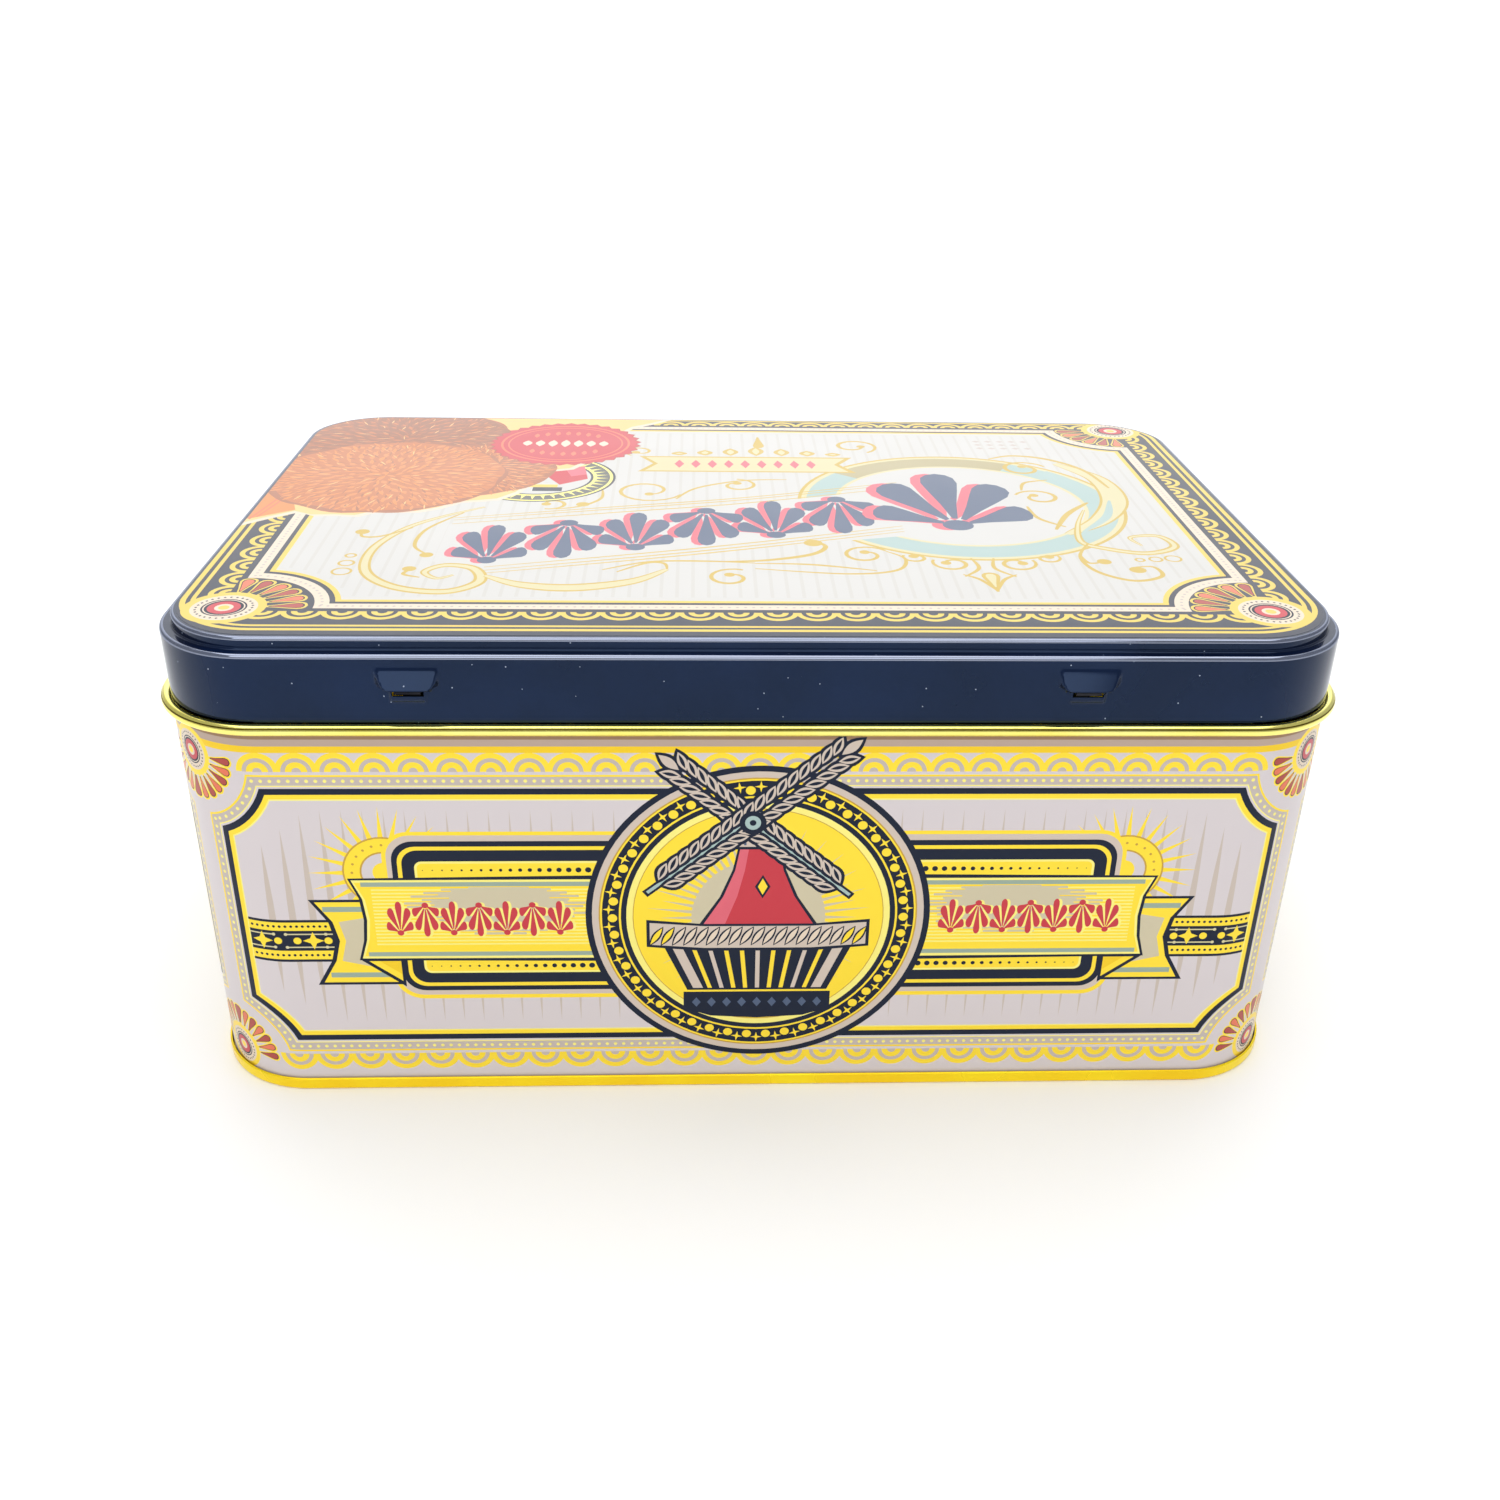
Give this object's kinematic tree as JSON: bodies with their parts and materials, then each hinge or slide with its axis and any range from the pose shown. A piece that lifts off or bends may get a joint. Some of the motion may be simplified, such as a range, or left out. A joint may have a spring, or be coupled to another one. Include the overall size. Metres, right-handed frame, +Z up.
{
  "type": "hinged biscuit tin",
  "caption": "Rectangular tinplate storage tin with rounded corners, a raised-panel lid on concealed tongue-and-slot hinges, a curled bead and a set-up base.",
  "frame": {"origin": "centre of the base ring, on the surface the tin stands on", "axes": "+Z up through the lid, +X along the long side, -Y out of the back, where the hinge is"},
  "size_m": [0.1932, 0.1332, 0.085],
  "materials": {
    "printed_wall": "gloss litho print",
    "gold_base": "gold lacquer",
    "gold_neck": "gold lacquer",
    "printed_lid": "gloss litho print",
    "gold_tongue": "gold lacquer"
  },
  "bodies": {
    "body": {"body_wall": "printed_wall", "base_plate": "gold_base", "neck_ring": "gold_neck", "hinge_tongue_left": "gold_tongue", "hinge_tongue_right": "gold_tongue"},
    "lid": {"lid": "printed_lid"}
  },
  "joints": [
    {"name": "lid_hinge", "type": "hinge", "parent": "body", "child": "lid", "pos_m": [0, -0.06485, 0.0766], "axis": [1, 0, 0], "range_deg": [0, 105]}
  ]
}
